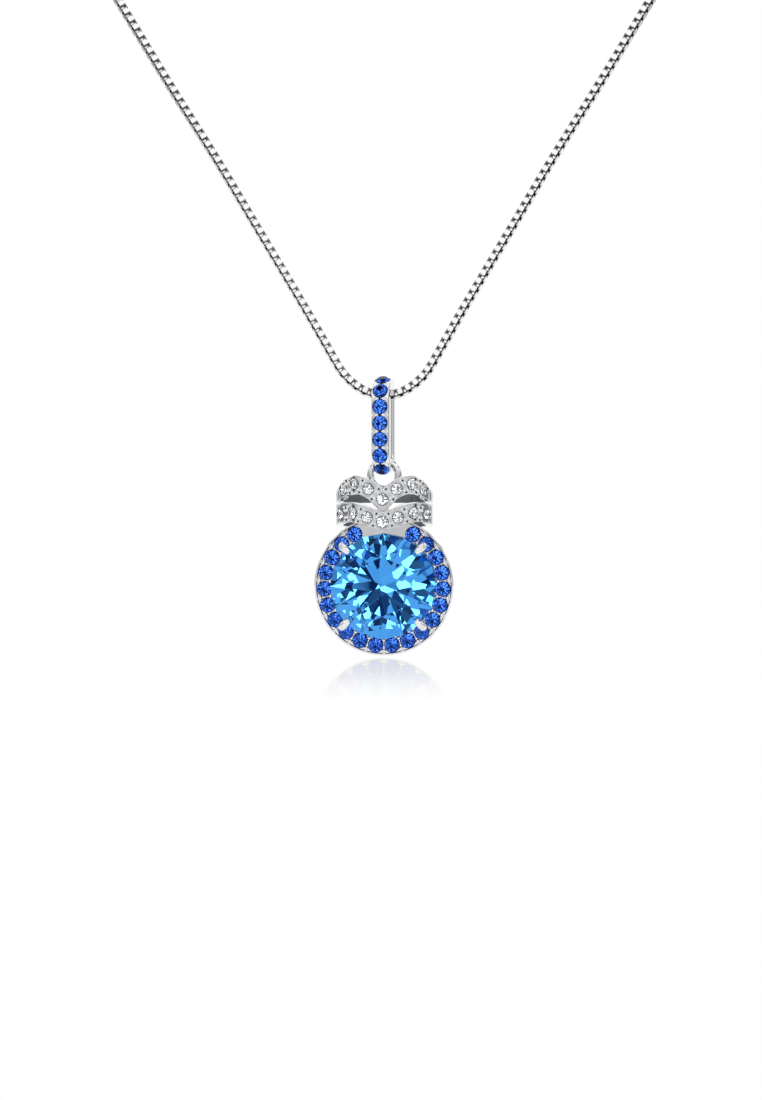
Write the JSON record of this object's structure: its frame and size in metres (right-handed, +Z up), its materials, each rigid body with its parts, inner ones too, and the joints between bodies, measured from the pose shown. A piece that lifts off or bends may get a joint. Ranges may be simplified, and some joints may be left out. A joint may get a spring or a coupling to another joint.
{
  "type": "pendant necklace",
  "caption": "Round sky-blue stone in a blue halo under a two-ribbon collar, on a stone-set bail and a box chain with a lobster clasp.",
  "frame": {"origin": "midway between the two points that carry the chain, above the hanging pendant", "axes": "+Z up, -Y the way the stones face, +X to the right as seen from the front"},
  "size_m": [0.0632, 0.0058, 0.0725],
  "materials": {
    "silver": "rhodium-plated silver, mirror polished",
    "chain_silver": "rhodium-plated silver box chain, polished",
    "spring_steel": "drawn spring wire",
    "tie_thread": "white thread",
    "sky_blue_stone": "faceted, sky blue",
    "sapphire_blue_stone": "faceted, sapphire blue",
    "clear_stone": "faceted, colourless"
  },
  "bodies": {
    "chain": {"chain_run": "chain_silver", "chain_coil": "chain_silver", "coil_tie": "tie_thread", "end_caps": "silver", "clasp_ring": "silver", "end_ring": "silver", "clasp_body": "silver", "clasp_pin": "silver", "clasp_spring": "spring_steel"},
    "clasp_lever": {"clasp_lever": "silver"},
    "bail": {"bail": "silver", "bail_stone_1": "sapphire_blue_stone", "bail_stone_2": "sapphire_blue_stone", "bail_stone_3": "sapphire_blue_stone", "bail_stone_4": "sapphire_blue_stone", "bail_stone_5": "sapphire_blue_stone", "bail_stone_6": "sapphire_blue_stone", "bail_stone_7": "sapphire_blue_stone"},
    "pendant": {"halo_plate": "silver", "gallery": "silver", "head": "silver", "centre_stone": "sky_blue_stone", "halo_stone_01": "sapphire_blue_stone", "halo_stone_02": "sapphire_blue_stone", "halo_stone_03": "sapphire_blue_stone", "halo_stone_04": "sapphire_blue_stone", "halo_stone_05": "sapphire_blue_stone", "halo_stone_06": "sapphire_blue_stone", "halo_stone_07": "sapphire_blue_stone", "halo_stone_08": "sapphire_blue_stone", "halo_stone_09": "sapphire_blue_stone", "halo_stone_10": "sapphire_blue_stone", "halo_stone_11": "sapphire_blue_stone", "halo_stone_12": "sapphire_blue_stone", "halo_stone_13": "sapphire_blue_stone", "halo_stone_14": "sapphire_blue_stone", "halo_stone_15": "sapphire_blue_stone", "halo_stone_16": "sapphire_blue_stone", "halo_stone_17": "sapphire_blue_stone", "halo_stone_18": "sapphire_blue_stone", "halo_stone_19": "sapphire_blue_stone", "halo_stone_20": "sapphire_blue_stone", "lower_ribbon": "silver", "upper_ribbon": "silver", "collar_bridge": "silver", "top_ring": "silver", "upper_stone_1": "clear_stone", "upper_stone_2": "clear_stone", "upper_stone_3": "clear_stone", "upper_stone_4": "clear_stone", "upper_stone_5": "clear_stone", "upper_stone_6": "clear_stone", "upper_stone_7": "clear_stone", "lower_stone_1": "clear_stone", "lower_stone_2": "clear_stone", "lower_stone_3": "clear_stone", "lower_stone_4": "clear_stone", "lower_stone_5": "clear_stone", "lower_stone_6": "clear_stone", "lower_stone_7": "clear_stone"}
  },
  "joints": [
    {"name": "bail_swing", "type": "hinge", "parent": "chain", "child": "bail", "pos_m": [0, 0, -0.0497], "axis": [1, 0, 0], "range_deg": [-45, 45]},
    {"name": "pendant_sway", "type": "hinge", "parent": "bail", "child": "pendant", "pos_m": [0, 0, -0.05611], "axis": [0, 1, 0], "range_deg": [-40, 40]},
    {"name": "clasp_open", "type": "hinge", "parent": "chain", "child": "clasp_lever", "pos_m": [-0.01385, 0, -0.00086], "axis": [0, 1, 0], "range_deg": [0, 25], "stiffness_Nm_per_rad": 0.001}
  ]
}
